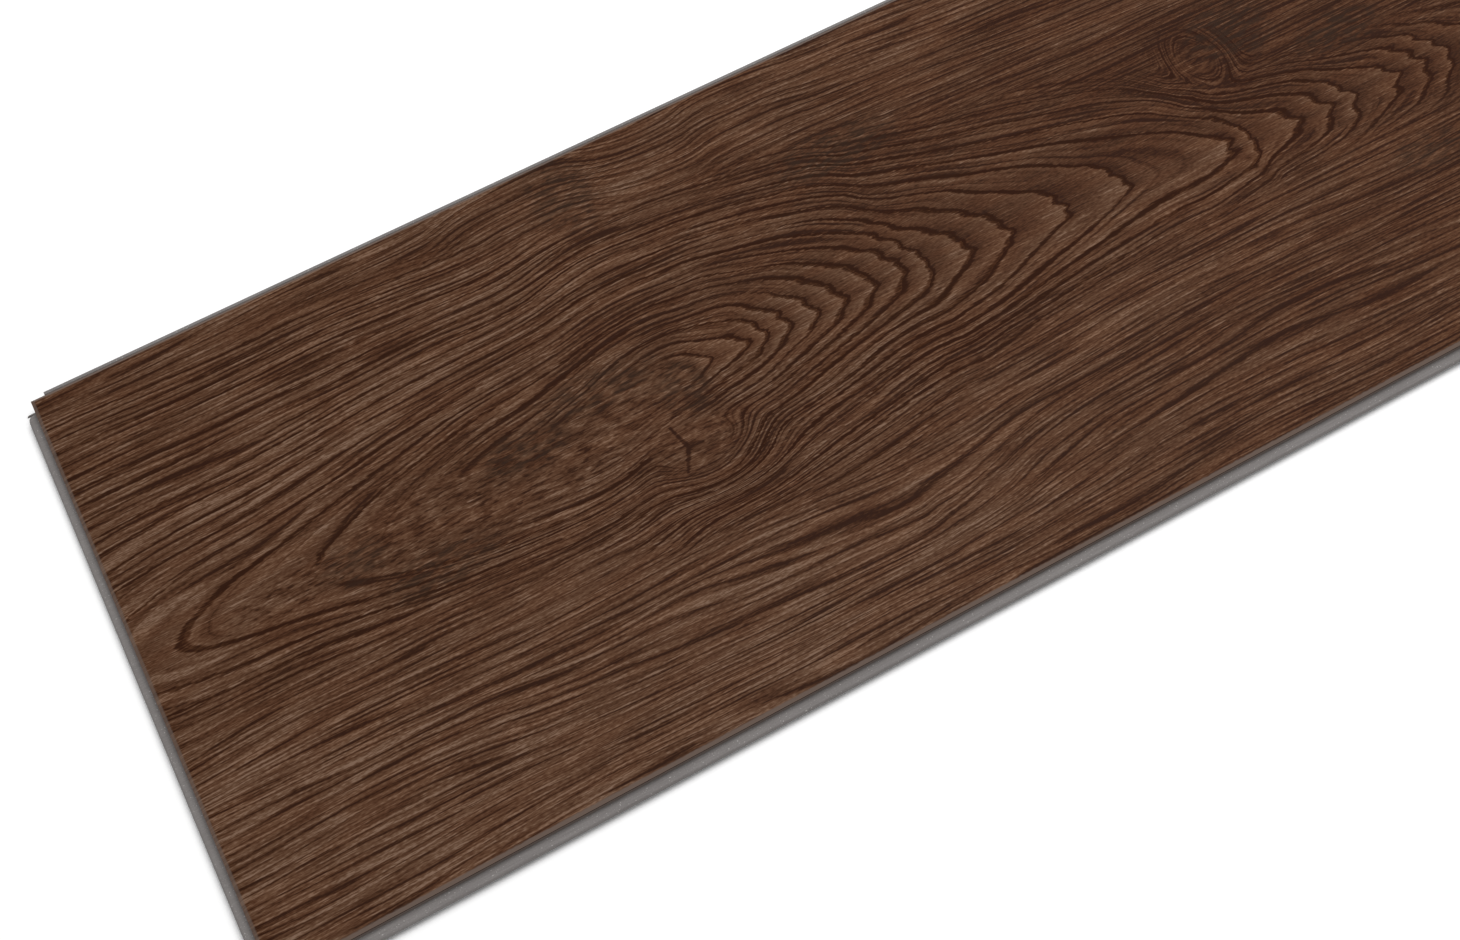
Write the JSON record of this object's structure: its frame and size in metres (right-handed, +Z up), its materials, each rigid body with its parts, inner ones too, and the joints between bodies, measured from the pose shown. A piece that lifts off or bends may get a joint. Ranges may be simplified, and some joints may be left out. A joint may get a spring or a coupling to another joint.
{
  "type": "vinyl floor plank",
  "caption": "Rigid vinyl floor plank with a brown wood-grain face, painted bevels and a grey core with click tongue and groove edges.",
  "frame": {"origin": "on the underside, below the middle of the printed face", "axes": "+X along the plank towards the end with the groove, +Y across it towards the long edge with the groove, +Z up out of the printed face"},
  "size_m": [1.2261, 0.1861, 0.005],
  "materials": {
    "core": "matt milled stone-filled vinyl, pale grey",
    "decor": "brown wood-grain print under a matt embossed wear coat"
  },
  "bodies": {
    "root": {"core_board": "core", "decor_layer": "decor"}
  },
  "joints": []
}
